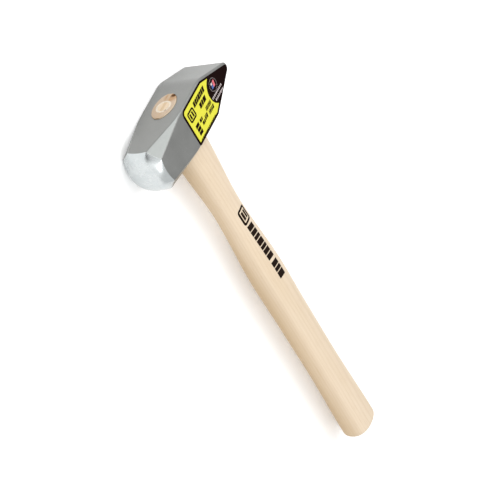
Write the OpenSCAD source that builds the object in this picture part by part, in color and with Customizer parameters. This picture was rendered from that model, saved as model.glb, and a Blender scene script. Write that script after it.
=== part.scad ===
// Cross-peen hammer, 2 1/2 lb head on a 15 in hickory handle.
// It lies on its plain cheek. +X runs to the peen, +Y up the handle to the top of the eye,
// and +Z out of the cheek that carries the label. Origin: resting cheek, under the eye's centre.
// Millimetres throughout.

/* [Head] */
// Distance from cheek to cheek, mm
head_width = 39.2; // [34:0.1:44]
// Distance from cheek to cheek at the striking end, mm
face_width = 38.2; // [34:0.1:44]
// Height of the head at the eye, along the handle, mm
eye_height = 37.2; // [33:0.1:43]
// Height across the top and bottom flats at the striking end, mm
face_height = 40; // [36:0.1:46]
// Distance from the eye's centre to the crown of the striking face, mm
face_reach = 63.6; // [56:0.1:74]
// Distance from the eye's centre to the edge of the peen, mm
peen_reach = 68.4; // [58:0.1:78]
// Distance from the eye's centre to where the neck starts to flare, mm
flare_start = 20; // [17:0.5:24]

/* [Striking end] */
// Distance from the eye's centre to the points where the corner chamfers begin, mm
chamfer_start = 11; // [6:0.5:20]
// Distance from the eye's centre to the plane where the octagon's widths are taken, mm
octagon_plane = 55; // [50:0.1:60]
// Width of the top flat at that plane, mm
top_flat = 17.8; // [12:0.1:24]
// Width of the bottom flat at that plane, mm
bottom_flat = 21.2; // [12:0.1:24]
// Width of the cheek flats at that plane, mm
cheek_flat = 22.6; // [16:0.1:28]
// Radius where the polished bevel meets the crowned face, mm
crown_edge_radius = 14.8; // [11:0.1:17]
// Radius gained by the bevel per millimetre behind the face
bevel_slope = 0.9; // [0.6:0.01:1.2]
// How far the grinding of the bevel is off the head's axis, towards the label, mm
bevel_offset = 0.8; // [0:0.1:1.5]
// Radius of the crown on the striking face, mm
crown_radius = 95; // [60:1:200]

/* [Peen] */
// Angle of each tapering side to the head's length, degrees
taper_angle = 21.8; // [15:0.1:28]
// Radius of the rounded peen edge, mm
peen_radius = 4.5; // [3:0.1:7]
// Radius that softens the start of each taper, mm
shoulder_radius = 26; // [10:1:40]
// Width of the small bevel on the long edges, mm
edge_bevel = 0.7; // [0.4:0.1:2]

/* [Eye] */
// Length of the oval eye, along the head, mm
eye_length = 29.6; // [26:0.1:34]
// Width of the oval eye, cheek to cheek, mm
eye_width = 20; // [16:0.1:23]
// How far the wood stands proud of the top of the eye, mm
wood_proud = 0.8; // [0:0.1:2]
// Gap between the wood and the eye's wall, mm
eye_gap = 0.05; // [0.02:0.01:0.2]

/* [Handle] */
// Distance from the eye's centre to the butt end, mm
handle_reach = 361; // [358:1:400]
// Section of the shoulder that butts against the head [along the head, cheek to cheek], mm
shoulder_size = [36.4, 25.8];
// Section of the slim neck, mm
neck_size = [28.5, 20.6];
// Section of the palm swell, mm
swell_size = [35.6, 25.5];
// Section of the grip below the swell, mm
grip_size = [34.1, 24.4];
// Section of the waist above the butt, mm
waist_size = [33.5, 24];
// Section of the flared butt, mm
butt_size = [35, 27.6];
// Distance from the eye's centre to the end of the straight shoulder, mm
shoulder_at = 25; // [20:1:40]
// Distance from the eye's centre to the neck, mm
neck_at = 94; // [60:1:110]
// Distance from the eye's centre to the palm swell, mm
swell_at = 172; // [140:1:200]
// Distance from the eye's centre to the grip's section, mm
grip_at = 225; // [205:1:250]
// Distance from the eye's centre to the waist, mm
waist_at = 274; // [260:1:320]
// Distance from the eye's centre to the flare, mm
butt_at = 354.5; // [340:0.5:357]
// How far the rounded butt end closes in from the flare on every side, mm
butt_inset = 10; // [6:0.5:12]
// Depth of the kerf sawn into the tongue for the wooden wedge, mm
kerf_depth = 27; // [20:1:34]

/* [Wedges] */
// Thickness of the wooden wedge at the top of the eye, mm
wedge_top = 3.2; // [2:0.1:5]
// Thickness of the wooden wedge at its toe, mm
wedge_toe = 0.8; // [0.5:0.1:1.5]
// Length of the wooden wedge, along the head, mm
wedge_length = 28.4; // [20:0.1:28.8]
// Outer diameter of the steel ring wedge, mm
ring_diameter = 13.8; // [10:0.1:16]
// Wall of the ring wedge at its top, mm
ring_top = 1.5; // [0.8:0.1:2.5]
// Wall of the ring wedge at its driven edge, mm
ring_edge = 0.4; // [0.2:0.1:0.8]
// Depth to which the ring wedge is driven, mm
ring_depth = 12; // [8:0.5:16]
// Distance from the eye's centre to the ring's, towards the face, mm
ring_shift = 0.9; // [0:0.1:2]

/* [Label] */
// Thickness of the vinyl label, mm
label_thickness = 0.25; // [0.15:0.05:0.5]
// Distance from the eye's centre to the label's square end, on the face side, mm
label_back = 9.2; // [6:0.1:14]
// Metal left bare above and below the label's parallel edges, mm
label_margin = 1.2; // [0.8:0.1:3]
// How far the label sits below the middle of its cheek, towards the handle, mm
label_drop = 0.7; // [0:0.1:1]
// Metal left bare around the label's pointed end, mm
label_tip_margin = 1.4; // [0.8:0.1:3]
// Radius of the label's upper back corner, mm
label_corner = 5; // [2:0.5:8]

/* [Hidden] */
$fn = 96;
cheek = head_width / 2;
half_eye = eye_height / 2;
half_face = face_height / 2;
eye_top = half_eye + wood_proud;
far = 400;
slack = 1;
taper_slope = tan(taper_angle);
// The peen's round edge touches both tapering sides.
nose_x = peen_reach - peen_radius;
taper_x = nose_x - (half_eye - peen_radius / cos(taper_angle)) / taper_slope;
soft_length = shoulder_radius * tan(taper_angle / 2);
crown_depth = crown_radius - sqrt(pow(crown_radius, 2) - pow(crown_edge_radius, 2));
bevel_front = -face_reach + crown_depth;
oval_sides = 48;
rings_per_span = 7;
butt_turn = 86;
squareness = 2.3;
wedge_back = -wedge_length / 2;

// Shifts its children from the head's centre to the resting cheek.
module lying() {
    translate([0, 0, cheek]) children();
}

// Repeats its children on both cheeks.
module both_cheeks() {
    for (side = [0, 1]) mirror([0, 0, side]) children();
}

// Everything beyond the plane through a, b and c, on the side away from the head's centre.
module beyond(a, b, c) {
    n = cross(b - a, c - a);
    unit = n / norm(n) * (n * a < 0 ? -1 : 1);
    rotate([0, acos(unit[2]), atan2(unit[1], unit[0])])
        translate([-far / 2, -far / 2, unit * a]) cube(far);
}

// Side view of the head, seen from a cheek, with the flare at the face and the taper to the peen.
module side_view() {
    reach = face_reach + slack;
    flare = half_eye + (half_face - half_eye) * (reach - flare_start) / (octagon_plane - flare_start);
    blunt = half_eye - taper_slope * (peen_reach + slack - taper_x);
    upper = [[-reach, flare], [-flare_start, half_eye], [taper_x, half_eye], [peen_reach + slack, blunt]];
    lower = [for (i = [len(upper) - 1:-1:0]) [upper[i][0], -upper[i][1]]];
    difference() {
        polygon(concat(upper, lower));
        for (up = [0, 1]) mirror([0, up]) shoulder_waste();
        tip_waste(nose_x, peen_radius);
    }
}

// What a soft, round start of the taper leaves off the sharp corner.
module shoulder_waste() {
    flat_end = [taper_x - soft_length, half_eye];
    taper_begin = flat_end + soft_length * [1 + cos(taper_angle), -sin(taper_angle)];
    out = slack * [sin(taper_angle), cos(taper_angle)];
    difference() {
        polygon([flat_end, flat_end + [0, slack], [taper_x, half_eye + slack], taper_begin + out, taper_begin]);
        translate([flat_end[0], half_eye - shoulder_radius]) circle(r = shoulder_radius);
    }
}

// What a round tip, touching both tapering sides, leaves off their pointed end.
module tip_waste(x, r) {
    difference() {
        translate([x + r * sin(taper_angle), -half_eye]) square([2 * r, eye_height]);
        translate([x, 0]) circle(r = r);
    }
}

// Slims a cheek from the eye to the narrower striking end.
module slim_cheek() {
    beyond([-flare_start, 0, cheek], [-flare_start, 1, cheek], [-octagon_plane, 0, face_width / 2]);
}

// Cuts the corner between a flat and a cheek, from nothing near the eye to the octagon at the face.
module corner_chamfer(flat) {
    beyond(
        [-chamfer_start, half_eye, cheek],
        [-octagon_plane, half_face, flat / 2],
        [-octagon_plane, cheek_flat / 2, face_width / 2]
    );
}

// Breaks the long edges of the head's middle and of the tapering sides.
module broken_edges() {
    e = edge_bevel;
    beyond([0, half_eye - e, cheek], [0, half_eye, cheek - e], [1, half_eye, cheek - e]);
    on_cheek = [0, -e * cos(taper_angle), 0];
    on_taper = [0, 0, -e];
    shift = [-e * sin(taper_angle), 0, 0];
    start = [taper_x, half_eye, cheek];
    end = [taper_x + 1, half_eye - taper_slope, cheek];
    beyond(start + on_cheek + shift, start + on_taper, end + on_taper);
}

// Ground and polished bevel, widening backwards from the crowned face.
module bevel_cone() {
    tall = face_reach + peen_reach + 2 * slack;
    small = crown_edge_radius - bevel_slope * slack;
    translate([bevel_front - slack, 0, bevel_offset]) rotate([0, 90, 0])
        cylinder(h = tall, r1 = small, r2 = small + bevel_slope * tall);
}

// Oval prism along the handle, of the eye's outline.
module eye_oval(tall) {
    rotate([-90, 0, 0]) translate([0, 0, -tall / 2])
        linear_extrude(height = tall) scale([eye_length / eye_width, 1]) circle(d = eye_width);
}

module head() {
    color([0.66, 0.67, 0.68]) lying() difference() {
        intersection() {
            translate([0, 0, -cheek]) linear_extrude(height = head_width) side_view();
            bevel_cone();
            translate([crown_radius - face_reach, 0, 0]) sphere(r = crown_radius);
        }
        both_cheeks() {
            slim_cheek();
            corner_chamfer(top_flat);
            mirror([0, 1, 0]) corner_chamfer(bottom_flat);
            broken_edges();
            mirror([0, 1, 0]) broken_edges();
        }
        eye_oval(face_height + 2 * slack);
    }
}

// One point of the handle's section: a slightly squared oval of half widths a and b.
function oval_point(a, b, power, turn) = [
    a * sign(cos(turn)) * pow(abs(cos(turn)), 2 / power),
    b * sign(sin(turn)) * pow(abs(sin(turn)), 2 / power)
];

function ease(u) = u * u * (3 - 2 * u);

// Rings from one section to the next: [y, half length, half width, squareness].
function span(from_y, from_size, to_y, to_size) = [
    for (i = [1:rings_per_span])
        let (u = i / rings_per_span, size = from_size + (to_size - from_size) * ease(u))
            [from_y + (to_y - from_y) * u, size[0] / 2, size[1] / 2, squareness]
];

// Rings that round the butt off, ending in a small flat.
function butt_rings() = [
    for (i = [1:rings_per_span])
        let (turn = butt_turn * i / rings_per_span, inset = butt_inset * (1 - cos(turn)))
            [
                -butt_at - (handle_reach - butt_at) * sin(turn) / sin(butt_turn),
                butt_size[0] / 2 - inset,
                butt_size[1] / 2 - inset,
                squareness
            ]
];

// Whole handle from the tongue's top to the butt, as a skin of rings.
module turned_blank() {
    tongue = [eye_length / 2 - eye_gap, eye_width / 2 - eye_gap];
    rings = concat(
        [[eye_top, tongue[0], tongue[1], 2]],
        [[-half_eye - eye_gap, tongue[0], tongue[1], 2]],
        [for (y = [half_eye + eye_gap, shoulder_at]) [-y, shoulder_size[0] / 2, shoulder_size[1] / 2, squareness]],
        span(-shoulder_at, shoulder_size, -neck_at, neck_size),
        span(-neck_at, neck_size, -swell_at, swell_size),
        span(-swell_at, swell_size, -grip_at, grip_size),
        span(-grip_at, grip_size, -waist_at, waist_size),
        span(-waist_at, waist_size, -butt_at, butt_size),
        butt_rings()
    );
    last = len(rings) - 1;
    n = oval_sides;
    points = [
        for (r = rings)
            for (i = [0:n - 1])
                let (p = oval_point(r[1], r[2], r[3], 360 * i / n))
                    [p[0], r[0], p[1]]
    ];
    sides = [
        for (k = [0:last - 1])
            for (i = [0:n - 1])
                let (j = (i + 1) % n)
                    each [
                        [k * n + i, k * n + j, (k + 1) * n + j],
                        [k * n + i, (k + 1) * n + j, (k + 1) * n + i]
                    ]
    ];
    caps = [[for (i = [n - 1:-1:0]) i], [for (i = [0:n - 1]) last * n + i]];
    polyhedron(points = points, faces = concat(sides, caps), convexity = 4);
}

// Tapered slot or wedge along the head's length, from the top of the eye downwards.
module taper_prism(x_from, length, depth, clearance) {
    top = wedge_top / 2 + clearance;
    toe = wedge_toe / 2 + clearance;
    translate([x_from, eye_top, 0]) rotate([0, 90, 0])
        linear_extrude(height = length)
            polygon([[-top, slack], [top, slack], [top, 0], [toe, -depth], [-toe, -depth], [-top, 0]]);
}

// Steel ring, its wall thinning to the driven edge.
module ring_body() {
    r = ring_diameter / 2;
    translate([-ring_shift, eye_top - ring_depth, 0]) rotate([-90, 0, 0]) difference() {
        cylinder(h = ring_depth, r = r);
        cylinder(h = ring_depth, r1 = r - ring_edge, r2 = r - ring_top);
    }
}

module handle() {
    color([0.86, 0.74, 0.58]) lying() difference() {
        turned_blank();
        taper_prism(-eye_length, 2 * eye_length, kerf_depth, 0);
        ring_body();
    }
}

module eye_wedge() {
    color([0.80, 0.66, 0.48]) lying() difference() {
        intersection() {
            taper_prism(wedge_back, wedge_length, kerf_depth, 0);
            translate([-far / 2, eye_top - far, -far / 2]) cube(far);
            eye_oval(eye_height + 2 * wood_proud);
        }
        ring_body();
    }
}

module ring_wedge() {
    color([0.72, 0.73, 0.74]) lying() ring_body();
}

// Die-cut outline of the label, seen from outside the cheek.
module label_outline() {
    edge = half_eye - label_margin;
    bend = taper_x + (label_margin * cos(taper_angle) - label_tip_margin) / sin(taper_angle);
    tip_radius = peen_radius - label_tip_margin;
    beyond_tip = [nose_x, 0] + tip_radius * [1 + sin(taper_angle), cos(taper_angle) - taper_slope];
    upper = [[-label_back, edge], [bend, edge], beyond_tip];
    lower = [for (i = [len(upper) - 1:-1:0]) [upper[i][0], -upper[i][1]]];
    difference() {
        polygon(concat(upper, lower));
        tip_waste(nose_x, tip_radius);
        difference() {
            translate([-label_back - slack, edge - label_corner]) square(label_corner + slack);
            translate([label_corner - label_back, edge - label_corner]) circle(r = label_corner);
        }
    }
}

module cheek_label() {
    color([0.93, 0.86, 0.35]) lying() translate([0, -label_drop, cheek])
        linear_extrude(height = label_thickness) label_outline();
}

head();
handle();
eye_wedge();
ring_wedge();
cheek_label();
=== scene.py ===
"""The looks of a cross-peen hammer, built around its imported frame.

The hammer lies on its plain cheek: +X runs to the peen, +Y up the handle to the top of the eye,
and +Z out of the cheek that carries the label. Shapes are worked out in millimetres about the
centre of the head, and place() puts them into the frame, in metres.
"""
import math

import bmesh
import bpy
from mathutils import Matrix, Vector


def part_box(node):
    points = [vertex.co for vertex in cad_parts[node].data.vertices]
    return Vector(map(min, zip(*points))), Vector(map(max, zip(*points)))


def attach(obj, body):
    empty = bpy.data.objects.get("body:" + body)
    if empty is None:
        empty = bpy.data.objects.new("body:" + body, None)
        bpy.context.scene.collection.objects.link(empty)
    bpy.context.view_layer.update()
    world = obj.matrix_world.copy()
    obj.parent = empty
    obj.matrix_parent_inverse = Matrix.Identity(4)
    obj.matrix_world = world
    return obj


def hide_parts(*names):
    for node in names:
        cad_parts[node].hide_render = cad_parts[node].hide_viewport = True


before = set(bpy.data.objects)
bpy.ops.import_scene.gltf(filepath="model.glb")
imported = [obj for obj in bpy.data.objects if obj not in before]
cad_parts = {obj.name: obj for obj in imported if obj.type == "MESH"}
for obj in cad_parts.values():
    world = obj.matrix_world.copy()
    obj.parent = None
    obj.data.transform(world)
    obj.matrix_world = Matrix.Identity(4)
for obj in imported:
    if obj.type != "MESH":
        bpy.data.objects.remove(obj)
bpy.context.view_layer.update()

MM = 0.001
WELD = 1e-6
SHARP_ANGLE = math.radians(30)

# ---------------------------------------------------------------- sizes taken from the frame, mm
head_low, head_high = (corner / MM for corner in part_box("head"))
handle_low, handle_high = (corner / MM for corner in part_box("handle"))
label_low, label_high = (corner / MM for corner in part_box("cheek_label"))
ring_low, ring_high = (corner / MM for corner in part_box("ring_wedge"))
wedge_low, wedge_high = (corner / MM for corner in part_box("eye_wedge"))

CHEEK = (head_high.z - head_low.z) / 2
FACE_REACH = -head_low.x
PEEN_REACH = head_high.x
HANDLE_REACH = -handle_low.y
EYE_TOP = handle_high.y
RING_RADIUS = (ring_high.x - ring_low.x) / 2
RING_SHIFT = (ring_high.x + ring_low.x) / 2
LABEL_BACK = -label_low.x
LABEL_TOP = label_high.z - CHEEK
LABEL_FOOT = label_low.z - CHEEK

# ---------------------------------------------------------------- sizes of the head, mm
HALF_EYE = 18.6
HALF_FACE = 20
FACE_HALF_WIDTH = 19.1
FLARE_START = 20
CHAMFER_START = 11
OCTAGON_PLANE = 55
TOP_FLAT, BOTTOM_FLAT, CHEEK_FLAT = 17.8, 21.2, 22.6
CROWN_EDGE, CROWN_RADIUS = 14.8, 95
BEVEL_SLOPE, BEVEL_OFFSET = 0.9, 0.8
# The bevel's edge is drawn this share of the way to a straight line across each flat
STRAIGHTENED = 0.45
# Width of the break between the bevel and the forged body
BEVEL_EDGE = 0.1
# The crown turns into the bevel from this far inside its edge, and is pulled out by this much at it
CROWN_SOFTNESS, CROWN_FULLNESS = 5, 0.6
TAPER = math.radians(21.8)
PEEN_RADIUS = 4.5
SHOULDER_RADIUS = 26
# The small chamfer on the long edges, and the rounding of every corner round the head
EDGE_BREAK, EDGE_ROUND = 0.75, 0.45
# The rounding takes up no more than this share of a narrow chamfer
MOST_ROUND = 0.45
EYE_HALF_LENGTH, EYE_HALF_WIDTH = 14.8, 10
EYE_MOUTH = 0.35

# ---------------------------------------------------------------- sizes of the wood and the wedges, mm
# Length and width of the handle's section at each place, and the place's distance from the eye's centre
SHOULDER, NECK, SWELL = (36.4, 25.8), (28.5, 20.6), (35.6, 25.5)
GRIP, WAIST, BUTT = (34.1, 24.4), (33.5, 24), (35, 27.6)
SHOULDER_AT, NECK_AT, SWELL_AT, GRIP_AT, WAIST_AT, BUTT_AT = 25, 94, 172, 225, 274, 354.5
BUTT_INSET = 10
SQUARENESS = 2.3
EYE_GAP = 0.05
# Painted shade: the handle's wood is darkened towards this direction, the side turned down to the floor
SHADED_SIDE = (-0.68, 0, -0.74)
KERF_DEPTH, KERF_TOP, KERF_TOE = 27, 3.2, 0.8
TONGUE_RIM, SHOULDER_LIP = 0.35, 0.5
WEDGE_PLAY, WEDGE_BEVEL, WEDGE_TOE_GAP = 0.04, 0.08, 0.1
GROOVE_PLAY = 0.03
RING_TOP, RING_EDGE, RING_DEPTH = 1.8, 0.4, 12
RING_RIM, RING_BELOW_RIM, BORE_GROWTH = 0.22, 6, 0.4
NOTCH_CENTRE, NOTCH_DEPTH = (-5.1, 3.9), 0.6
NOTCH_CORNERS = ((-1.6, -0.3), (1.4, -0.5), (1.6, 0.3), (-1.4, 0.5))
CHIP_X, CHIP_Z = 11.6, 3.9
CHIP_HALF_LENGTH, CHIP_HALF_WIDTH, CHIP_DEPTH = 1.5, 2.6, 2.2

# ---------------------------------------------------------------- sizes of the label, mm
LABEL_MARGIN, LABEL_DROP, LABEL_TIP_MARGIN = 1.2, 0.7, 1.4
LABEL_BORDER, BORDER_LIFT = 2.0, 0.3
# Corner radius of the die-cut outline, and the least that is left of it further in
LOW_BACK_CORNER, BEND_CORNER, HIGH_BACK_CORNER = (1.6, 0.4), (3, 0.5), 5
ARC_CENTRE, ARC_RADIUS, ARC_STEPS = Vector((42.9, -1.4)), 13.2, 32
BORDER_STEP = 0.2
STEPS_A_RADIAN = 10
FILM_EDGE = 0.05
INK = 0.02
# Each row of blocks that stands for lettering: x, y, length, height, number of blocks, gap
BLACK_ROWS = (
    (8.0, 9.6, 21.0, 4.6, 7, 0.4), (13.8, 3.2, 11.6, 4.4, 3, 0.45), (18.4, -3.9, 9.8, 3.4, 6, 0.4),
    (19.8, -8.7, 9.0, 3.4, 5, 0.45), (4.9, -4.6, 4.8, 2.8, 2, 0.4), (6.6, -8.6, 4.8, 2.8, 2, 0.4),
    (12.2, -7.6, 5.0, 3.8, 3, 0.35), (-4.4, -15.4, 29.0, 0.6, 11, 0.4),
)
WHITE_ROWS = ((31.8, -4.9, 18.0, 1.7, 10, 0.9), (34.6, -8.6, 14.4, 1.7, 8, 0.9))
# Each single block: x, y, length, height, slant
BLACK_BLOCKS = (
    (-2.9, -11.3, 5.6, 3.0, 0.2), (-2.9, -7.8, 5.6, 3.0, 0.2), (-2.9, -4.3, 5.6, 3.0, 0.2),
    (-2.3, 6.2, 2.1, 5.0, 0), (1.2, 6.2, 2.1, 5.0, 0),
)
PALE_PATCH, BLUE_PATCH, RED_PATCH = (38.3, 4.2, 2.3, 1.9), (37.7, 1.4, 2.9, 2.7), (41.1, 2.7, 2.6, 5.0)
BADGE_CENTRE, BADGE_RADIUS, TICKS = Vector((40.9, 2.4)), 5.4, 26
TICK_CORNERS = ((-0.2, -0.25), (0.2, -0.25), (0.2, 0.25), (-0.2, 0.25))
# A rounded box: x, y, half its length, half its height, corner radius, line width
LABEL_BOX = (0.6, 6.3, 5.4, 4.8, 2.2, 1.6)
LEAST_BOX_CORNER = 0.3

# ---------------------------------------------------------------- sizes of the print on the handle, mm
PRINT_LIFT, PRINT_SINK = 0.05, 0.15
PRINT_TURN = math.radians(85.5)
# Each word: start down the handle, length, number of blocks
HANDLE_WORDS = ((114.5, 39, 7), (156.8, 18, 3))
WORD_GAP, WORD_HEIGHT, WORD_SLANT = 0.9, 7.4, -0.2
# The box as on the label, with x down the handle and y across it
HANDLE_BOX = (104.5, 0.8, 7.8, 5.4, 2.6, 2.1)
BAR_START, BAR_LENGTH, BAR_HEIGHT, BARS_ACROSS = 100.4, 8.2, 2.1, (-0.7, 2.3)
BOX_CELL = 0.8
CELLS_ALONG, CELLS_ACROSS = 6, 8

# ---------------------------------------------------------------- the studio
FLOOR_REACH, FLOOR_DROP = 20000, 0.02
WORLD_LEVEL = 0.9
# Patches of the surroundings: direction, cosine where each is full, cosine where it begins, brightness
PATCHES = (
    ((-0.72, 0.69, 0), 0.988, 0.956, 0.0),
    ((0.66, -0.52, 0.55), 0.95, 0.6, 0.83),
    ((-0.71, 0.25, 0.65), 0.97, 0.84, 1.35),
    ((-1, -0.05, 0.02), 0.94, 0.72, 1.5),
)
# Soft boxes: name, direction from the head, distance, width, height (all in m) and watts
LAMPS = (
    ("key", (0.2, 0.75, 0.66), 1.6, 1.3, 0.8, 5.5),
    ("front", (-0.74, -0.08, 0.67), 1.7, 0.8, 0.75, 4.6),
    ("fill", (0.42, 0.05, 0.9), 1.7, 1.0, 1.0, 8.5),
)
# The photograph's view, in m: towards the camera, to the right of the frame, and what it looks at
VIEW_FROM = Vector((-0.60737, 0.56508, 0.55838))
VIEW_RIGHT = Vector((0.35673, -0.43403, 0.82726))
VIEW_AIM = Vector((-0.04952, -0.09587, 0.06249))
VIEW_DISTANCE = 1.8987
VIEW_LENS, VIEW_SENSOR, VIEW_CLIP = 172.8, 36, (0.05, 50)


def place(point):
    """A point in mm about the head's centre, in the frame."""
    return Vector((point[0], point[1], point[2] + CHEEK)) * MM


def mix(a, b, share):
    return a + (b - a) * share


def ease(u):
    return u * u * (3 - 2 * u)


# ================================================================ materials
def srgb(*levels):
    """A colour given by its 0 to 255 display levels, as the shader wants it."""
    shares = [level / 255 for level in levels]
    return (*[s / 12.92 if s <= 0.04045 else ((s + 0.055) / 1.055) ** 2.4 for s in shares], 1)


class Look:
    """Writes one node material. Each method adds a node and returns the socket that it gives."""

    def __init__(self, name, **sockets):
        self.material = bpy.data.materials.new(name)
        self.material.use_nodes = True
        self.tree = self.material.node_tree
        self.shader = self.tree.nodes["Principled BSDF"]
        for socket, value in sockets.items():
            self.shader.inputs[socket.replace("_", " ")].default_value = value
        self.where = self.tree.nodes.new("ShaderNodeTexCoord").outputs["Object"]

    def node(self, kind, inputs, **settings):
        """A node with its settings, each input linked to a socket or set to a value."""
        made = self.tree.nodes.new(kind)
        for name, value in settings.items():
            setattr(made, name, value)
        for key, value in inputs.items():
            if isinstance(value, bpy.types.NodeSocket):
                self.tree.links.new(value, made.inputs[key])
            else:
                made.inputs[key].default_value = value
        return made

    def stretched(self, scale, shift=(0, 0, 0)):
        """The place on the object, in metres, scaled and then shifted."""
        mapping = {"Vector": self.where, "Scale": scale, "Location": shift}
        return self.node("ShaderNodeMapping", mapping).outputs[0]

    def noise(self, scales, detail, roughness):
        """Noise with so many features to the metre along x, y and z."""
        inputs = {"Vector": self.stretched(scales), "Scale": 1, "Detail": detail, "Roughness": roughness}
        return self.node("ShaderNodeTexNoise", inputs).outputs["Fac"]

    def ramp(self, share, *stops):
        """Colours at positions along a share."""
        made = self.node("ShaderNodeValToRGB", {"Fac": share})
        points = made.color_ramp.elements
        while len(points) < len(stops):
            points.new(0.5)
        for point, (position, colour) in zip(points, stops):
            point.position = position
            point.color = colour
        return made.outputs["Color"]

    def levels(self, share, low, high, to_low=0, to_high=1):
        """The share, clamped to low and high, brought to a new range."""
        inputs = {"Value": share, "From Min": low, "From Max": high, "To Min": to_low, "To Max": to_high}
        return self.node("ShaderNodeMapRange", inputs).outputs["Result"]

    def blend(self, share, a, b):
        """Colour a, turning into b as the share goes from 0 to 1."""
        return self.node("ShaderNodeMix", {0: share, 6: a, 7: b}, data_type="RGBA").outputs[2]

    def maths(self, how, a, b):
        return self.node("ShaderNodeMath", {0: a, 1: b}, operation=how).outputs[0]

    def bump(self, height, depth, strength, under=None):
        """Relief of a depth in metres, laid over what is under it."""
        inputs = {"Height": height, "Distance": depth, "Strength": strength}
        if under is not None:
            inputs["Normal"] = under
        return self.node("ShaderNodeBump", inputs).outputs[0]

    def near(self, centre, reach):
        """1 at a point given in mm about the head's centre, falling to 0 at that reach."""
        shift = tuple(-c / r for c, r in zip((centre[0], centre[1], centre[2] + CHEEK), reach))
        vector = self.stretched(tuple(1 / (r * MM) for r in reach), shift)
        ball = self.node("ShaderNodeTexGradient", {"Vector": vector}, gradient_type="SPHERICAL")
        return ball.outputs["Fac"]

    def inside_ring(self):
        """1 at the top of the eye within the ring wedge, where the wood stayed clean, and 0 outside."""
        return self.levels(self.near((RING_SHIFT, EYE_TOP, 0), (11, 11, 11)), 0.38, 0.5)

    def finish(self, colour, roughness, normal=None):
        for socket, value in (("Base Color", colour), ("Roughness", roughness), ("Normal", normal)):
            if value is not None:
                self.tree.links.new(value, self.shader.inputs[socket])
        return self.material


def forged_look(name, dark, light, rough):
    """Satin steel as it leaves the forge: soft mottling, fine grit and a few hairline scratches."""
    look = Look(name, Metallic=0.85)
    mottle = look.noise((70, 70, 70), 4, 0.55)
    grit = look.noise((2600, 2600, 2600), 2, 0.6)
    scratch = look.noise((5200, 260, 900), 2, 0.5)
    hairline = look.levels(scratch, 0.66, 0.72)
    body = look.ramp(mottle, (0.3, dark), (0.7, light))
    colour = look.blend(look.maths("MULTIPLY", hairline, 0.18), body, srgb(225, 227, 226))
    roughness = look.maths("ADD", look.levels(mottle, 0.3, 0.7, rough - 0.03, rough + 0.04),
                           look.levels(grit, 0.3, 0.7, -0.03, 0.03))
    normal = look.bump(grit, 0.000012, 0.5)
    normal = look.bump(mottle, 0.00012, 0.35, normal)
    return look.finish(colour, roughness, normal)


def polished_look():
    """The ground and polished striking end: bright, with turned polishing lines round its axis."""
    look = Look("polished_steel", Metallic=1.0)
    centred = look.stretched((1, 1, 1), (0, 0, -(CHEEK + BEVEL_OFFSET) * MM))
    lines = look.node("ShaderNodeTexWave", {"Vector": centred, "Scale": 620, "Distortion": 0.6, "Detail": 2},
                      wave_type="RINGS", rings_direction="X").outputs["Fac"]
    haze = look.noise((150, 150, 150), 4, 0.6)
    pits = look.noise((1500, 1500, 1500), 2, 0.5)
    nick = look.levels(pits, 0.68, 0.74)
    colour = look.ramp(haze, (0.3, srgb(188, 193, 194)), (0.7, srgb(198, 202, 202)))
    colour = look.blend(look.maths("MULTIPLY", nick, 0.12), colour, srgb(150, 152, 152))
    roughness = look.levels(haze, 0.3, 0.7, 0.23, 0.3)
    normal = look.bump(lines, 0.000003, 0.25)
    normal = look.bump(nick, -0.00001, 0.25, normal)
    return look.finish(colour, roughness, normal)


def wood_colours(look, pale, warm, line, ring_scale=140, pith=(0.045, 0, 0.06)):
    """Solid wood with growth rings round a pith beside the handle, and fibres along it.
    Gives the colour, the fibres and the pores."""
    coarse = look.stretched((1, 0.035, 1), pith)
    rings = look.node("ShaderNodeTexWave",
                      {"Vector": coarse, "Scale": ring_scale, "Distortion": 9, "Detail": 2,
                       "Detail Scale": 0.35, "Detail Roughness": 0.5},
                      wave_type="RINGS", rings_direction="Y").outputs["Fac"]
    fibres = look.noise((1500, 16, 1500), 3, 0.6)
    drift = look.noise((60, 7, 60), 3, 0.5)
    pores = look.levels(look.noise((3000, 45, 3000), 2, 0.5), 0.62, 0.72)
    colour = look.ramp(drift, (0.3, pale), (0.72, warm))
    colour = look.blend(look.levels(rings, 0.45, 1.0, 0, 0.22), colour, line)
    colour = look.blend(look.levels(fibres, 0.45, 0.75, 0, 0.22), colour, line)
    colour = look.blend(look.maths("MULTIPLY", pores, 0.3), colour, srgb(176, 141, 100))
    return colour, fibres, pores


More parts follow.
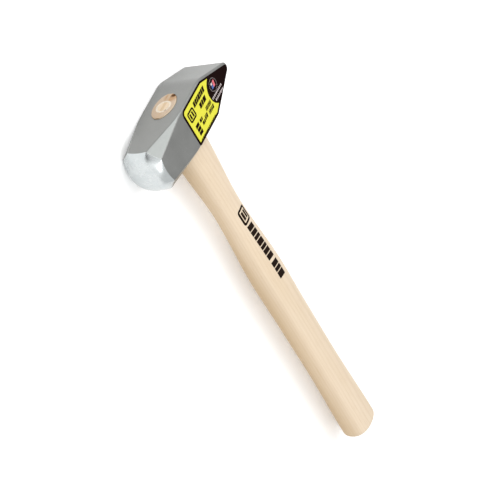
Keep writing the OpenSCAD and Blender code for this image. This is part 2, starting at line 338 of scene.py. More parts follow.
def handle_look():
    """Lacquered hickory: painted shade along the side turned to the floor, dark end grain, a darker brown
    patch at the peen end of the eye, and painted shade in a chip there.
    """
    look = Look("lacquered_hickory", Coat_Weight=0.12, Coat_Roughness=0.32, Specular_IOR_Level=0.35)
    colour, fibres, pores = wood_colours(
        look, srgb(215, 198, 176), srgb(210, 191, 165), srgb(194, 171, 139))
    centred = look.stretched((1, 1, 1), (0, 0, -CHEEK * MM))
    # Painted shade: darker wood on the side turned to the floor, where the handle lies in shade
    aside = look.node("ShaderNodeVectorMath", {0: centred, 1: SHADED_SIDE}, operation="DOT_PRODUCT")
    waver = look.maths("MULTIPLY", look.noise((90, 9, 90), 3, 0.5), 0.006)
    painted_shade = look.levels(look.maths("ADD", aside.outputs["Value"], waver), 0.005, 0.017)
    colour = look.blend(look.maths("MULTIPLY", painted_shade, 0.7), colour, srgb(160, 132, 90))
    facing = look.node("ShaderNodeNewGeometry", {}).outputs["Normal"]
    along = look.node("ShaderNodeSeparateXYZ", {0: facing}).outputs["Y"]
    end_grain = look.levels(along, 0.8, 0.95)
    sawn = look.blend(look.inside_ring(), srgb(168, 144, 121), srgb(208, 186, 156))
    colour = look.blend(look.maths("MULTIPLY", end_grain, 0.7), colour, sawn)
    # A darker, browner patch over the wood at the peen end of the eye
    peen_end_patch = look.levels(look.near((10.4, EYE_TOP, 2.6), (8.2, 3.2, 8.6)), 0.12, 0.5)
    colour = look.blend(look.maths("MULTIPLY", peen_end_patch, 0.85), colour, srgb(168, 126, 78))
    # Painted shade: the wood inside the chip is darkened as if in shadow
    chip = look.levels(look.near((CHIP_X, EYE_TOP, CHIP_Z), (3.2, 3.4, 4.0)), 0.2, 0.5)
    colour = look.blend(look.maths("MULTIPLY", chip, 0.8), colour, srgb(92, 62, 36))
    roughness = look.levels(fibres, 0.3, 0.7, 0.4, 0.52)
    normal = look.bump(fibres, 0.00003, 0.3)
    normal = look.bump(pores, -0.00004, 0.35, normal)
    return look.finish(colour, roughness, normal)


def wedge_look():
    """The softer, plainer wood of the wedge."""
    look = Look("wedge_wood")
    colour, fibres, _ = wood_colours(
        look, srgb(204, 181, 149), srgb(196, 170, 136), srgb(172, 143, 108), 260, (0.02, 0, 0.031))
    soiled = look.blend(0.6, colour, srgb(168, 144, 121))
    colour = look.blend(look.inside_ring(), soiled, colour)
    return look.finish(colour, look.levels(fibres, 0.3, 0.7, 0.55, 0.7), look.bump(fibres, 0.00004, 0.4))


def ring_look():
    """Bright steel of the ring wedge, with hammer bruises on its rim."""
    look = Look("ring_steel", Metallic=0.6)
    bruise = look.noise((900, 300, 900), 3, 0.6)
    rust = look.levels(look.noise((420, 420, 420), 3, 0.6), 0.6, 0.7)
    colour = look.ramp(bruise, (0.3, srgb(194, 183, 166)), (0.7, srgb(222, 211, 194)))
    colour = look.blend(look.maths("MULTIPLY", rust, 0.4), colour, srgb(150, 118, 90))
    return look.finish(colour, look.levels(bruise, 0.3, 0.7, 0.3, 0.45), look.bump(bruise, 0.00006, 0.5))


def vinyl_look(name, dark, light):
    """Printed vinyl: faint ink mottling and a skin that isn't quite flat."""
    look = Look(name, Specular_IOR_Level=0.02)
    mottle = look.noise((500, 500, 500), 3, 0.6)
    skin = look.noise((120, 120, 120), 2, 0.5)
    colour = look.ramp(mottle, (0.3, dark), (0.7, light))
    return look.finish(colour, look.levels(mottle, 0.3, 0.7, 0.38, 0.48), look.bump(skin, 0.00008, 0.2))


def handle_ink_look():
    """Dark brown ink pressed into the wood, thinner along the fibres."""
    look = Look("handle_ink", Specular_IOR_Level=0.05)
    fibres = look.noise((1800, 40, 1800), 3, 0.6)
    colour = look.ramp(fibres, (0.35, srgb(18, 7, 2)), (0.64, srgb(30, 13, 4)), (0.78, srgb(96, 64, 36)))
    return look.finish(colour, look.levels(fibres, 0.3, 0.7, 0.45, 0.6), look.bump(fibres, 0.00003, 0.4))


def floor_look():
    """A pale matt floor that glows faintly, as a light table does, to keep the shadows soft."""
    look = Look("pale_floor", Emission_Color=(1, 1, 1, 1), Emission_Strength=0.15)
    grain = look.noise((8, 8, 8), 2, 0.5)
    return look.finish(look.ramp(grain, (0.3, srgb(246, 246, 246)), (0.7, srgb(249, 249, 249))),
                       look.levels(grain, 0.3, 0.7, 0.8, 0.9))


# ================================================================ mesh building
def tidy(mesh):
    """Welds what coincides, points every face outwards and marks the sharp edges."""
    form = bmesh.new()
    form.from_mesh(mesh)
    bmesh.ops.remove_doubles(form, verts=form.verts, dist=WELD)
    bmesh.ops.dissolve_degenerate(form, edges=form.edges, dist=WELD)
    bmesh.ops.recalc_face_normals(form, faces=form.faces)
    form.to_mesh(mesh)
    form.free()
    mesh.shade_smooth()
    mesh.set_sharp_from_angle(angle=SHARP_ANGLE)


def make_piece(name, points, faces, looks, look_of=None):
    """A mesh object from points in mm about the head's centre; look_of gives each face's look."""
    mesh = bpy.data.meshes.new(name)
    mesh.from_pydata([place(p) for p in points], [], faces)
    for look in looks:
        mesh.materials.append(look)
    if look_of:
        mesh.polygons.foreach_set("material_index", look_of)
    tidy(mesh)
    piece = bpy.data.objects.new(name, mesh)
    bpy.context.scene.collection.objects.link(piece)
    return piece


def skin(rows):
    """Points and faces of a skin through closed rows of equal length."""
    count = len(rows[0])
    faces = []
    for r in range(len(rows) - 1):
        for i in range(count):
            j = (i + 1) % count
            faces.append((r * count + i, r * count + j, (r + 1) * count + j, (r + 1) * count + i))
    return [point for row in rows for point in row], faces


def capped(rows):
    """A skin whose first and last rows are closed by one face each."""
    points, faces = skin(rows)
    count = len(rows[0])
    last = (len(rows) - 1) * count
    return points, faces + [tuple(reversed(range(count))), tuple(range(last, last + count))]


def settle(piece):
    """Replaces a piece's mesh by what its modifiers make of it."""
    made = bpy.data.meshes.new_from_object(piece.evaluated_get(bpy.context.evaluated_depsgraph_get()))
    piece.modifiers.clear()
    piece.data = made
    tidy(made)


def carve(piece, *cutters):
    """Cuts the cutters out of a piece and removes them."""
    for cutter in cutters:
        cut = piece.modifiers.new("carve", "BOOLEAN")
        cut.operation = "DIFFERENCE"
        cut.solver = "EXACT"
        cut.object = cutter
        settle(piece)
        bpy.data.objects.remove(cutter)


def oval_point(half_x, half_z, turn, power):
    """(x, z) of an oval at a turn from +X towards +Z, slightly squared when the power is above 2."""
    c, s = math.cos(turn), math.sin(turn)
    return (math.copysign(abs(c) ** (2 / power), c) * half_x,
            math.copysign(abs(s) ** (2 / power), s) * half_z)


def oval(half_x, half_z, y, power=2, count=96, centre=(0, 0)):
    """A closed row round the handle's line, as oval_point draws it."""
    row = []
    for i in range(count):
        x, z = oval_point(half_x, half_z, 2 * math.pi * i / count, power)
        row.append((centre[0] + x, y, centre[1] + z))
    return row


# ================================================================ head
TOP_STEPS, ROUND_STEPS, CHAMFER_STEPS, CHEEK_STEPS = 8, 4, 8, 9
QUARTER = TOP_STEPS + CHAMFER_STEPS + CHEEK_STEPS + 2 * ROUND_STEPS
AROUND = 4 * QUARTER
FRONT_END = -6
STATION_GAP = 0.5
CROWN_STEPS, BEND_STEPS, BODY_STEPS = 9, 14, 30
FLAT_STEPS, SHOULDER_STEPS, TAPER_STEPS, EDGE_STEPS = 16, 10, 16, 14
FORGED, POLISHED, CHAMFERED = range(3)
CUTTER_REACH = 40


def quarter_row(flat_middle, flat_corner, side_corner, side_middle):
    """Points from the middle of a flat, over a chamfer with two rounded corners, to a cheek's middle."""
    def off(corner, towards):
        way = towards - corner
        return corner + way.normalized() * min(EDGE_ROUND, MOST_ROUND * way.length)

    bends = [
        (off(flat_corner, flat_middle), flat_corner, off(flat_corner, side_corner)),
        (off(side_corner, flat_corner), side_corner, off(side_corner, side_middle)),
    ]
    row = [flat_middle.lerp(bends[0][0], i / TOP_STEPS) for i in range(TOP_STEPS)]
    for k, (start, corner, end) in enumerate(bends):
        for i in range(ROUND_STEPS):
            t = i / ROUND_STEPS
            row.append(start.lerp(corner, t).lerp(corner.lerp(end, t), t))
        goal, steps = ((bends[1][0], CHAMFER_STEPS), (side_middle, CHEEK_STEPS))[k]
        row += [end.lerp(goal, i / steps) for i in range(steps)]
    return row + [side_middle]


def head_row(x, height, turn, half_width, top_cut, bottom_cut):
    """A closed row of the head at a point of its side outline, whose normal has turned from +Y towards +X.
    Each cut is how far a chamfer runs in across the flat and down the cheek."""
    ring = []
    for up, side, cut, backwards in ((1, 1, top_cut, 0), (-1, 1, bottom_cut, 1),
                                     (-1, -1, bottom_cut, 0), (1, -1, top_cut, 1)):
        across, down = cut
        deep_x, deep_y = x - math.sin(turn) * down, height - math.cos(turn) * down
        points = quarter_row(
            Vector((x, up * height, 0)),
            Vector((x, up * height, side * (half_width - across))),
            Vector((deep_x, up * deep_y, side * half_width)),
            Vector((deep_x, 0, side * half_width)),
        )
        ring += (list(reversed(points)) if backwards else points)[:-1]
    return ring


def soft_step(value):
    """The value where it is well above zero, and next to nothing below, with a soft turn between."""
    return (value + math.hypot(value, 1)) / 2


def front_section(x):
    """The head's row at constant x, between the face and the eye: flare, slimmed cheeks and chamfers."""
    flare = max(0, -FLARE_START - x) / (OCTAGON_PLANE - FLARE_START)
    height = HALF_EYE + (HALF_FACE - HALF_EYE) * flare
    half_width = CHEEK + (FACE_HALF_WIDTH - CHEEK) * flare
    run = (-CHAMFER_START - x) / (OCTAGON_PLANE - CHAMFER_START)
    cuts = []
    for flat in (TOP_FLAT, BOTTOM_FLAT):
        full = (FACE_HALF_WIDTH - flat / 2, HALF_FACE - CHEEK_FLAT / 2)
        cuts.append([EDGE_BREAK + soft_step(size * run - EDGE_BREAK) for size in full])
    return head_row(x, height, 0, half_width, *cuts)


def peen_rows():
    """Rows from the middle of the head, over the softened taper, round the peen's edge."""
    nose = PEEN_REACH - PEEN_RADIUS
    taper_x = nose - (HALF_EYE - PEEN_RADIUS / math.cos(TAPER)) / math.tan(TAPER)
    flat_end = taper_x - SHOULDER_RADIUS * math.tan(TAPER / 2)
    arc_end = flat_end + SHOULDER_RADIUS * math.sin(TAPER)
    straight_end = nose + PEEN_RADIUS * math.sin(TAPER)
    low = PEEN_RADIUS * math.cos(TAPER)
    arc_low = HALF_EYE - SHOULDER_RADIUS * (1 - math.cos(TAPER))
    marks = [(mix(FRONT_END, flat_end, i / FLAT_STEPS), HALF_EYE, 0) for i in range(1, FLAT_STEPS)]
    for i in range(SHOULDER_STEPS + 1):
        turn = TAPER * i / SHOULDER_STEPS
        marks.append((flat_end + SHOULDER_RADIUS * math.sin(turn),
                      HALF_EYE - SHOULDER_RADIUS * (1 - math.cos(turn)), turn))
    for i in range(1, TAPER_STEPS):
        share = i / TAPER_STEPS
        marks.append((mix(arc_end, straight_end, share), mix(arc_low, low, share), TAPER))
    for i in range(EDGE_STEPS + 1):
        turn = mix(TAPER, math.pi / 2, i / EDGE_STEPS)
        marks.append((nose + PEEN_RADIUS * math.sin(turn), PEEN_RADIUS * math.cos(turn), turn))
    cut = (EDGE_BREAK, EDGE_BREAK)
    return [head_row(x, height, turn, CHEEK, cut, cut) for x, height, turn in marks]


def crown_point(y, z):
    """A point of the crowned striking face."""
    return Vector((CROWN_RADIUS - FACE_REACH - math.sqrt(CROWN_RADIUS ** 2 - y * y - z * z), y, z))


def flats():
    """(first column, last column) of each of the eight flats round the head, each second one a chamfer."""
    found = []
    for q in range(4):
        middle, reach = q * QUARTER, (TOP_STEPS, CHEEK_STEPS)[q % 2]
        lead = middle + reach + ROUND_STEPS
        found += [(middle - reach, middle + reach), (lead, lead + CHAMFER_STEPS)]
    return found


def bevel_starts(stations, sections):
    """Where each column of the octagon meets the ground bevel, slightly straightened across each flat."""
    starts = []
    for j in range(AROUND):
        gaps = []
        for x, row in zip(stations, sections):
            cone = CROWN_EDGE + BEVEL_SLOPE * (x - crown_point(CROWN_EDGE, 0).x)
            gaps.append(math.hypot(row[j].y, row[j].z - BEVEL_OFFSET) - cone)
        k = next(k for k, gap in enumerate(gaps) if gap < 0)
        share = gaps[k - 1] / (gaps[k - 1] - gaps[k])
        starts.append(mix(stations[k - 1], stations[k], share))
    straight = list(starts)
    for first, last in flats():
        for j in range(first, last + 1):
            chord = mix(starts[first % AROUND], starts[last % AROUND], (j - first) / (last - first))
            straight[j % AROUND] = mix(starts[j % AROUND], chord, STRAIGHTENED)
    return straight


def build_head(forged, chamfered, polished):
    """Columns from the crown's middle over the bevel to the eye, rows on to the peen, and the eye cut out."""
    count = int((FACE_REACH + FRONT_END) / STATION_GAP) + 2
    stations = [-FACE_REACH + i * STATION_GAP for i in range(count)]
    sections = [front_section(x) for x in stations]
    starts = bevel_starts(stations, sections)

    def body_point(j, x):
        k = min(int((x - stations[0]) / STATION_GAP), len(stations) - 2)
        return sections[k][j].lerp(sections[k + 1][j], (x - stations[k]) / STATION_GAP)

    centre = Vector((0, 0, BEVEL_OFFSET))
    soft_radius = CROWN_EDGE - CROWN_SOFTNESS
    columns = []
    for j in range(AROUND):
        start = body_point(j, starts[j])
        arm = Vector((0, start.y, start.z - BEVEL_OFFSET)).normalized()
        edge = crown_point(*(centre + arm * CROWN_EDGE).yz)
        soft_in = crown_point(*(centre + arm * soft_radius).yz)
        pull = crown_point(*(centre + arm * (CROWN_EDGE + CROWN_FULLNESS)).yz)
        bevel_top = start - (start - edge).normalized() * BEVEL_EDGE
        column = [crown_point(*(centre + arm * soft_radius * i / CROWN_STEPS).yz) for i in range(CROWN_STEPS)]
        for i in range(BEND_STEPS + 1):
            t = math.sin(math.pi / 2 * i / BEND_STEPS)
            column.append(soft_in.lerp(pull, t).lerp(pull.lerp(bevel_top, t), t))
        for i in range(BODY_STEPS + 1):
            column.append(body_point(j, mix(starts[j] + BEVEL_EDGE, FRONT_END, ease(i / BODY_STEPS))))
        columns.append(column)
    rows = [list(row) for row in zip(*columns)] + peen_rows()
    points, faces = skin(rows)

    polished_rows = CROWN_STEPS + BEND_STEPS + 1
    chamfer_columns = {j % AROUND for first, last in flats()[1::2] for j in range(first, last)}
    look_of = []
    for r in range(len(rows) - 1):
        for j in range(AROUND):
            on_chamfer = j in chamfer_columns and rows[r][j].x < -CHAMFER_START
            look_of.append(POLISHED if r < polished_rows else CHAMFERED if on_chamfer else FORGED)
    head = make_piece("hammer_head", points, faces, [forged, polished, chamfered], look_of)

    mouth = HALF_EYE - EYE_MOUTH
    sizes = [(CUTTER_REACH, EYE_MOUTH), (HALF_EYE, EYE_MOUTH), (mouth, 0),
             (-mouth, 0), (-HALF_EYE, EYE_MOUTH), (-CUTTER_REACH, EYE_MOUTH)]
    tube = [oval(EYE_HALF_LENGTH + more, EYE_HALF_WIDTH + more, y) for y, more in sizes]
    carve(head, make_piece("eye_cutter", *capped(tube), [forged]))
    return head


# ================================================================ handle
BLANK_STEP = 3
END_STEPS, RIM_STEPS, TONGUE_STEPS = 12, 4, 12
BUTT_STEPS, BUTT_END_STEPS, BUTT_TURN = 16, 6, math.radians(86)
KERF_REACH, KERF_STEPS = 30, 24
CHIP_STEPS, CHIP_AROUND = 12, 32
BELOW_RIM, CUT_RISE, GROOVE_RISE = 1, 1, 2


def handle_sections():
    """(distance below the eye's centre, half length, half width) down the turned blank to the flare."""
    stops = [(SHOULDER_AT, SHOULDER), (NECK_AT, NECK), (SWELL_AT, SWELL), (GRIP_AT, GRIP),
             (WAIST_AT, WAIST), (BUTT_AT, BUTT)]
    sections = [(HALF_EYE + EYE_GAP, SHOULDER[0] / 2, SHOULDER[1] / 2)]
    for (start, small), (end, large) in zip(stops, stops[1:]):
        steps = round((end - start) / BLANK_STEP)
        for i in range(steps):
            u = i / steps
            sizes = [mix(a, b, ease(u)) / 2 for a, b in zip(small, large)]
            sections.append((mix(start, end, u), *sizes))
    return sections


def butt_sections():
    """The same three sizes round the butt's edge, down to the end of the handle."""
    found = []
    for i in range(BUTT_STEPS + 1):
        turn = BUTT_TURN * i / BUTT_STEPS
        inset = BUTT_INSET * (1 - math.cos(turn))
        depth = mix(BUTT_AT, HANDLE_REACH, math.sin(turn) / math.sin(BUTT_TURN))
        found.append((depth, BUTT[0] / 2 - inset, BUTT[1] / 2 - inset))
    return found


def build_handle(look):
    """End grain, tongue, shoulder, turned blank and butt in one skin, with kerf, groove and chip cut out."""
    length, width = EYE_HALF_LENGTH - EYE_GAP, EYE_HALF_WIDTH - EYE_GAP
    flat_length, flat_width = length - TONGUE_RIM, width - TONGUE_RIM
    rows = [oval(flat_length * i / END_STEPS, flat_width * i / END_STEPS, EYE_TOP) for i in range(END_STEPS)]
    for i in range(RIM_STEPS + 1):
        turn = math.pi / 2 * i / RIM_STEPS
        less = TONGUE_RIM * (1 - math.sin(turn))
        rows.append(oval(length - less, width - less, EYE_TOP - TONGUE_RIM * (1 - math.cos(turn))))
    for i in range(TONGUE_STEPS + 1):
        rows.append(oval(length, width, mix(EYE_TOP - BELOW_RIM, -HALF_EYE - EYE_GAP, i / TONGUE_STEPS)))
    depth, a, b = handle_sections()[0]
    rows.append(oval(a - SHOULDER_LIP, b - SHOULDER_LIP, -depth, SQUARENESS))
    rows.append(oval(a, b, -depth - SHOULDER_LIP, SQUARENESS))
    for depth, a, b in handle_sections()[1:] + butt_sections():
        rows.append(oval(a, b, -depth, SQUARENESS))
    for i in reversed(range(BUTT_END_STEPS)):
        rows.append(oval(a * i / BUTT_END_STEPS, b * i / BUTT_END_STEPS, -depth, SQUARENESS))
    handle = make_piece("hickory_handle", *skin(rows), [look])
    kerf = make_piece("kerf_cutter", *kerf_skin(), [look])
    groove = make_piece("groove_cutter", *groove_skin(0), [look])
    chip = make_piece("chip_cutter", *chip_skin(), [look])
    carve(handle, kerf, groove, chip)
    return handle


def kerf_skin():
    """The saw cut along the head's length, widest at the top of the eye; it runs out of the wood."""
    top, toe = KERF_TOP / 2, KERF_TOE / 2
    foot, rise = EYE_TOP - KERF_DEPTH, EYE_TOP + CUT_RISE
    outline = [(rise, top), (EYE_TOP, top), (foot, toe), (foot, -toe), (EYE_TOP, -top), (rise, -top)]
    return capped([[(2 * KERF_REACH * i / KERF_STEPS - KERF_REACH, y, z) for y, z in outline]
                   for i in range(KERF_STEPS + 1)])


def ring_rows(profile):
    """Rows of a ring about the ring wedge's line, through a closed profile of (radius, y)."""
    return [oval(r, r, y, centre=(RING_SHIFT, 0)) for r, y in profile + profile[:1]]


def groove_skin(play):
    """What the ring wedge takes out of the wood: a tube whose bore opens downwards."""
    inner_top, inner_foot = RING_RADIUS - RING_TOP - play, RING_RADIUS - RING_EDGE - play
    outer, foot, rise = RING_RADIUS + play, EYE_TOP - RING_DEPTH - play, EYE_TOP + GROOVE_RISE
    return skin(ring_rows([(inner_foot, foot), (outer, foot), (outer, rise), (inner_top, rise),
                           (inner_top, EYE_TOP)]))


def chip_skin():
    """A small lens that chips the wood at the peen end of the eye."""
    rows = []
    for i in range(CHIP_STEPS + 1):
        turn = math.pi * i / CHIP_STEPS
        rows.append(oval(CHIP_HALF_LENGTH * math.sin(turn), CHIP_HALF_WIDTH * math.sin(turn),
                         EYE_TOP + CHIP_DEPTH * math.cos(turn), count=CHIP_AROUND, centre=(CHIP_X, CHIP_Z)))
    return skin(rows)


def build_wedge(look):
    """The wooden wedge, sanded off level with the eye's top."""
    top, toe = KERF_TOP / 2 - WEDGE_PLAY, KERF_TOE / 2 - WEDGE_PLAY
    foot = EYE_TOP - KERF_DEPTH + WEDGE_TOE_GAP
    outline = [(EYE_TOP, top - WEDGE_BEVEL), (EYE_TOP - WEDGE_BEVEL, top), (foot, toe),
               (foot, -toe), (EYE_TOP - WEDGE_BEVEL, -top), (EYE_TOP, -top + WEDGE_BEVEL)]
    rows = [[(mix(wedge_low.x, wedge_high.x, i / KERF_STEPS), y, z) for y, z in outline]
            for i in range(KERF_STEPS + 1)]
    wedge = make_piece("kerf_wedge", *capped(rows), [look])
    carve(wedge, make_piece("groove_cutter", *groove_skin(GROOVE_PLAY), [look]))
    return wedge


def build_ring(look):
    """The ring wedge, its rim bruised by the hammer that drove it."""
    inner_top, inner_foot = RING_RADIUS - RING_TOP, RING_RADIUS - RING_EDGE
    foot, below_rim = EYE_TOP - RING_DEPTH, EYE_TOP - RING_BELOW_RIM
    turns = [math.pi / 2 / RIM_STEPS * i for i in range(RIM_STEPS + 1)]
    profile = [(inner_foot, foot), (RING_RADIUS, foot), (RING_RADIUS, below_rim)]
    profile += [(RING_RADIUS - RING_RIM * (1 - math.cos(t)), EYE_TOP - RING_RIM * (1 - math.sin(t)))
                for t in turns]
    profile += [(inner_top + RING_RIM * (1 - math.sin(t)), EYE_TOP - RING_RIM * (1 - math.cos(t)))
                for t in turns]
    profile.append((inner_top + BORE_GROWTH, below_rim))
    ring = make_piece("ring_wedge_steel", *skin(ring_rows(profile)), [look])
    x, z = RING_SHIFT + NOTCH_CENTRE[0], NOTCH_CENTRE[1]
    notch = [[(x + dx, y, z + dz) for dx, dz in NOTCH_CORNERS]
             for y in (EYE_TOP - NOTCH_DEPTH, EYE_TOP + CUT_RISE)]
    carve(ring, make_piece("notch_cutter", *capped(notch), [look]))
    return ring


# ================================================================ label
def rounded_outline(corners):
    """A closed outline through (x, y, radius) corners, each rounded by an arc that touches both sides."""
    outline = []
    for i, (x, y, radius) in enumerate(corners):
        here = Vector((x, y))
        before = (Vector(corners[i - 1][:2]) - here).normalized()
        after = (Vector(corners[(i + 1) % len(corners)][:2]) - here).normalized()
        half = before.angle(after) / 2
        centre = here + (before + after).normalized() * (radius / math.sin(half))
        foot = here + before * (radius / math.tan(half)) - centre
        sweep = -math.copysign(math.pi - 2 * half, before.x * after.y - before.y * after.x)
        steps = max(2, round(abs(sweep) * STEPS_A_RADIAN))
        for k in range(steps + 1):
            turned = foot.copy()
            turned.rotate(Matrix.Rotation(sweep * k / steps, 2))
            outline.append(centre + turned)
    return outline


def label_outline(inset):
    """The die-cut outline in (x, y), drawn in by an inset: square back, taper and rounded tip."""
    edge = HALF_EYE - LABEL_MARGIN - inset
    back = -LABEL_BACK + inset
    nose = PEEN_REACH - PEEN_RADIUS
    tip = PEEN_RADIUS - LABEL_TIP_MARGIN - inset
    point = nose + tip / math.sin(TAPER)
    bend = point - edge / math.tan(TAPER)
    low_back, at_bend = (max(radius - inset, least) for radius, least in (LOW_BACK_CORNER, BEND_CORNER))
    corners = [(back, -edge, low_back), (bend, -edge, at_bend), (point, 0, tip),
               (bend, edge, at_bend), (back, edge, HIGH_BACK_CORNER - inset)]
    return [Vector((p.x, p.y - LABEL_DROP)) for p in rounded_outline(corners)]


def on_cheek(outline, height):
    """An outline in (x, y), lifted to a height above the labelled cheek."""
    return [(p[0], p[1], LABEL_FOOT + height) for p in outline]


def field_outline():
    """The yellow field: inside the border, and outside the round end of the dark area."""
    border = [p + Vector((0, BORDER_LIFT)) for p in dense(label_outline(LABEL_BORDER), BORDER_STEP)]

    def dark(p):
        return (p - ARC_CENTRE).length < ARC_RADIUS or p.x > ARC_CENTRE.x

    first = next(i for i, p in enumerate(border) if dark(border[i - 1]) and not dark(p))
    turned = border[first:] + border[:first]
    kept = [p for p in turned if not dark(p)]
    start, end = kept[-1] - ARC_CENTRE, kept[0] - ARC_CENTRE
    from_turn = math.atan2(start.y, start.x) % (2 * math.pi)
    to_turn = math.atan2(end.y, end.x) % (2 * math.pi)
    arc = []
    for i in range(1, ARC_STEPS):
        turn = mix(from_turn, to_turn, i / ARC_STEPS)
        arc.append(ARC_CENTRE + ARC_RADIUS * Vector((math.cos(turn), math.sin(turn))))
    return kept + arc


def block(x, y, length, height, slant=0.25):
    """One slanted block of a row that stands for lettering."""
    lean = slant * height / 2
    return [(x - lean, y - height / 2), (x + length - lean, y - height / 2),
            (x + length + lean, y + height / 2), (x + lean, y + height / 2)]


def word(x, y, length, height, count, gap, slant=0.25):
    """A row of blocks of uneven lengths that fills a length."""
    shares = [1 + 0.28 * math.sin(2.4 * i + count) for i in range(count)]
    room = (length - gap * (count - 1)) / sum(shares)
    blocks = []
    for share in shares:
        blocks.append(block(x, y, room * share, height, slant))
        x += room * share + gap
    return blocks


def plates(name, outlines, low, high, look):
    """One piece of thin printed shapes lying on the labelled cheek."""
    points, faces = [], []
    for outline in outlines:
        base = len(points)
        more, sides = capped([on_cheek(outline, low), on_cheek(outline, high)])
        points += more
        faces += [tuple(base + i for i in face) for face in sides]
    return make_piece(name, points, faces, [look])


def hoop(outer, inner, low, high):
    """A closed band between two outlines of equal length, as rows round its section."""
    return [on_cheek(outer, low), on_cheek(outer, high), on_cheek(inner, high), on_cheek(inner, low),
            on_cheek(outer, low)]


def dense(outline, step):
    """The closed outline again, with points no further apart than a step."""
    made = []
    for a, b in zip(outline, outline[1:] + outline[:1]):
        steps = max(1, round((b - a).length / step))
        made += [a.lerp(b, i / steps) for i in range(steps)]
    return made


def box_mark(x, y, half_length, half_height, corner, line):
    """Outer and inner outlines of a rounded box drawn with a line."""
    found = []
    for less in (0, line):
        a, b, r = half_length - less, half_height - less, max(corner - less, LEAST_BOX_CORNER)
        found.append(rounded_outline([(x - a, y - b, r), (x + a, y - b, r),
                                      (x + a, y + b, r), (x - a, y + b, r)]))
    return found


def build_label(yellow, black, white, red, blue):
    """The film, and the pieces printed on it: the yellow field, and the marks over field and film."""
    film = LABEL_TOP - LABEL_FOOT - 3 * INK
    outer, drawn_in = label_outline(0), label_outline(FILM_EDGE)
    rows = [on_cheek(outer, 0), on_cheek(outer, film - FILM_EDGE), on_cheek(drawn_in, film)]
    base = make_piece("label_film", *capped(rows), [black])
    first = (film - INK, film + INK)
    second = (film, film + 2 * INK)
    field = plates("label_field", [field_outline()], *first, yellow)

    marks = [mark for row in BLACK_ROWS for mark in word(*row)] + [block(*sizes) for sizes in BLACK_BLOCKS]
    print_black = plates("label_print_black", marks, *second, black)
    box_outer, box_inner = box_mark(*LABEL_BOX)
    box = make_piece("label_print_box", *skin(hoop(box_outer, box_inner, *second)), [black])

    marks = []
    for i in range(TICKS):
        turn = 2 * math.pi * i / TICKS
        mid = BADGE_CENTRE + BADGE_RADIUS * Vector((math.cos(turn), math.sin(turn)))
        marks.append([mid + Vector(corner) for corner in TICK_CORNERS])
    marks += [mark for row in WHITE_ROWS for mark in word(*row)] + [block(*PALE_PATCH)]
    print_white = plates("label_print_white", marks, *second, white)
    print_red = plates("label_print_red", [block(*RED_PATCH)], *second, red)
    print_blue = plates("label_print_blue", [block(*BLUE_PATCH)], *second, blue)
    return base, [field, print_black, box, print_white, print_red, print_blue]


# ================================================================ print on the handle
def on_handle(down, across, lift):
    """A point a lift off the handle: down from the eye's centre, and across from the print's line."""
    sections = handle_sections() + butt_sections()
    k = next(k for k in range(1, len(sections)) if sections[k][0] >= down)
    (d0, a0, b0), (d1, a1, b1) = sections[k - 1], sections[k]
    share = (down - d0) / (d1 - d0)
    a, b = mix(a0, a1, share), mix(b0, b1, share)
    x, z = oval_point(a, b, PRINT_TURN - across / a, SQUARENESS)
    out = Vector((math.copysign(abs(x / a) ** (SQUARENESS - 1), x) / a, 0,
                  math.copysign(abs(z / b) ** (SQUARENESS - 1), z) / b)).normalized()
    return Vector((x, -down, z)) + out * lift


def strip_faces(rows, closed):
    """A thin closed solid over a strip given as rows of (down, across), wrapped onto the handle."""
    loops = []
    for row in rows + rows[:1] if closed else rows:
        over = [on_handle(down, across, PRINT_LIFT) for down, across in row]
        under = [on_handle(down, across, -PRINT_SINK) for down, across in reversed(row)]
        loops.append(over + under)
    return skin(loops) if closed else capped(loops)


def handle_block(down, across, length, height, slant):
    """A slanted block, cut into small cells so that it follows the wood."""
    rows = []
    for i in range(CELLS_ALONG + 1):
        start = down + length * i / CELLS_ALONG
        shares = [k / CELLS_ACROSS for k in range(CELLS_ACROSS + 1)]
        rows.append([(start + slant * (0.5 - share) * height, across + height * (share - 0.5))
                     for share in shares])
    return strip_faces(rows, False)


def build_handle_print(look):
    """Two words of slanted blocks and a rounded box with two bars, all in one thin piece."""
    points, faces = [], []

    def add(shape):
        base = len(points)
        points.extend(shape[0])
        faces.extend(tuple(base + i for i in face) for face in shape[1])

    for start, length, count in HANDLE_WORDS:
        for outline in word(start, 0, length, 1, count, WORD_GAP, 0):
            begin, end = outline[0][0], outline[1][0]
            add(handle_block(begin, 0, end - begin, WORD_HEIGHT, WORD_SLANT))
    outer, inner = box_mark(*HANDLE_BOX)
    rows = []
    for i, a in enumerate(outer):
        b = inner[i]
        after, next_b = outer[(i + 1) % len(outer)], inner[(i + 1) % len(inner)]
        steps = max(1, round((after - a).length / BOX_CELL))
        for k in range(steps):
            out, into = a.lerp(after, k / steps), b.lerp(next_b, k / steps)
            rows.append([tuple(out.lerp(into, m / 2)) for m in range(3)])
    add(strip_faces(rows, True))
    for across in BARS_ACROSS:
        add(handle_block(BAR_START, across, BAR_LENGTH, BAR_HEIGHT, 0))
    return make_piece("handle_print", points, faces, [look])


# ================================================================ studio
def build_floor(look):
    """One wide face just under the resting cheek, whose far edge stays out of view."""
    points = [(x * FLOOR_REACH, y * FLOOR_REACH, -CHEEK - FLOOR_DROP)
              for x, y in ((-1, -1), (1, -1), (1, 1), (-1, 1))]
    floor = make_piece("floor", points, [(0, 1, 2, 3)], [look])


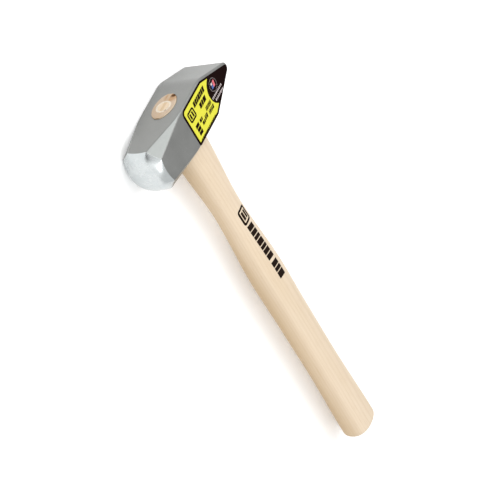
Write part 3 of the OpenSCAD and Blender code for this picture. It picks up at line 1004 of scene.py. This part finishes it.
def build_world():
    """Soft pale surroundings, with darker and brighter patches that give the steel something to reflect."""
    world = bpy.data.worlds.new("studio")
    bpy.context.scene.world = world
    world.use_nodes = True
    tree = world.node_tree
    where = tree.nodes.new("ShaderNodeTexCoord").outputs["Generated"]
    level = None
    for direction, full, begin, brightness in PATCHES:
        towards = tree.nodes.new("ShaderNodeVectorMath")
        towards.operation = "DOT_PRODUCT"
        towards.inputs[1].default_value = Vector(direction).normalized()
        tree.links.new(where, towards.inputs[0])
        patch = tree.nodes.new("ShaderNodeMapRange")
        patch.interpolation_type = "SMOOTHSTEP"
        for socket, value in (("From Min", begin), ("From Max", full), ("To Min", 1), ("To Max", brightness)):
            patch.inputs[socket].default_value = value
        tree.links.new(towards.outputs["Value"], patch.inputs["Value"])
        if level is None:
            level = patch.outputs["Result"]
        else:
            both = tree.nodes.new("ShaderNodeMath")
            both.operation = "MULTIPLY"
            tree.links.new(level, both.inputs[0])
            tree.links.new(patch.outputs["Result"], both.inputs[1])
            level = both.outputs[0]
    look = tree.nodes["Background"]
    look.inputs["Color"].default_value = (WORLD_LEVEL, WORLD_LEVEL, WORLD_LEVEL, 1)
    tree.links.new(level, look.inputs["Strength"])


def area_light(name, direction, distance, width, height, power):
    """A soft box that looks at the head from a direction."""
    data = bpy.data.lights.new(name, "AREA")
    data.shape = "RECTANGLE"
    data.size, data.size_y, data.energy = width, height, power
    lamp = bpy.data.objects.new(name, data)
    way = Vector(direction).normalized()
    lamp.location = way * distance
    lamp.rotation_mode = "QUATERNION"
    lamp.rotation_quaternion = way.to_track_quat("Z", "Y")
    bpy.context.scene.collection.objects.link(lamp)


def build_camera():
    """The photograph's view: from the face side, over the top of the eye and the label."""
    towards = VIEW_FROM.normalized()
    right = (VIEW_RIGHT - towards * VIEW_RIGHT.dot(towards)).normalized()
    up = towards.cross(right)
    data = bpy.data.cameras.new("view")
    data.lens, data.sensor_width = VIEW_LENS, VIEW_SENSOR
    data.clip_start, data.clip_end = VIEW_CLIP
    camera = bpy.data.objects.new("view", data)
    bpy.context.scene.collection.objects.link(camera)
    turn = Matrix((right, up, towards)).transposed()
    camera.matrix_world = Matrix.Translation(VIEW_AIM + towards * VIEW_DISTANCE) @ turn.to_4x4()
    bpy.context.scene.camera = camera
    bpy.context.scene.view_settings.view_transform = "Standard"


# ================================================================ the hammer
def mount(piece, node=None):
    """Mounts a piece on the hammer's one body, and hides the CAD node that it stands for."""
    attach(piece, "root")
    if node:
        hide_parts(node)


def build_hammer():
    forged = forged_look("forged_steel", srgb(131, 132, 130), srgb(137, 138, 136), 0.36)
    # The chamfers get a lighter copy of the forged steel: partly a ground finish, partly painted light on the
    # facets that face the key lamp
    chamfered = forged_look("ground_and_lit_chamfer", srgb(146, 150, 148), srgb(154, 157, 155), 0.34)
    hickory, ink = handle_look(), handle_ink_look()
    yellow = vinyl_look("yellow_vinyl", srgb(205, 201, 62), srgb(211, 208, 74))
    black = vinyl_look("black_ink", srgb(16, 3, 2), srgb(22, 5, 4))
    white = vinyl_look("white_ink", srgb(190, 178, 178), srgb(208, 196, 196))
    red = vinyl_look("red_ink", srgb(196, 88, 98), srgb(214, 118, 126))
    blue = vinyl_look("blue_ink", srgb(62, 84, 140), srgb(84, 108, 164))

    mount(build_head(forged, chamfered, polished_look()), "head")
    mount(build_handle(hickory), "handle")
    mount(build_wedge(wedge_look()), "eye_wedge")
    mount(build_ring(ring_look()), "ring_wedge")
    film, prints = build_label(yellow, black, white, red, blue)
    mount(film, "cheek_label")
    for piece in prints:
        mount(piece)
    mount(build_handle_print(ink))


build_camera()
build_world()
for lamp in LAMPS:
    area_light(*lamp)
build_floor(floor_look())
build_hammer()
